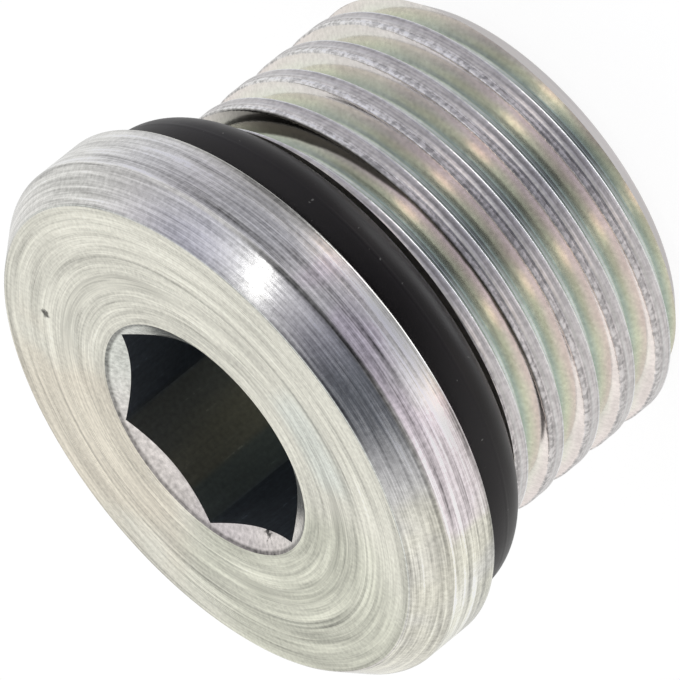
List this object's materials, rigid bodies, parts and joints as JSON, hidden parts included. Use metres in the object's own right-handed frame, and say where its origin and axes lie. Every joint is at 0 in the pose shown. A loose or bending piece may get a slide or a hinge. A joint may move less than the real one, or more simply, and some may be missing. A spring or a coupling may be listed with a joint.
{
  "type": "hex socket screw plug",
  "caption": "Zinc-plated steel screw plug with a flanged head, a hexagon socket, a parallel pipe thread and a rubber sealing ring under the flange.",
  "frame": {"origin": "middle of the flat thread end that the plug stands on", "axes": "+Z along the screw axis, from the thread end up to the head; +X through a corner of the hexagon socket"},
  "size_m": [0.016, 0.016, 0.0115],
  "materials": {
    "zinc_plated_steel": "turned steel with thin bright zinc plating, faintly yellow-green and pink",
    "nitrile_rubber": "smooth black rubber with a soft sheen"
  },
  "bodies": {
    "root": {"plug_body": "zinc_plated_steel", "sealing_ring": "nitrile_rubber"}
  },
  "joints": []
}
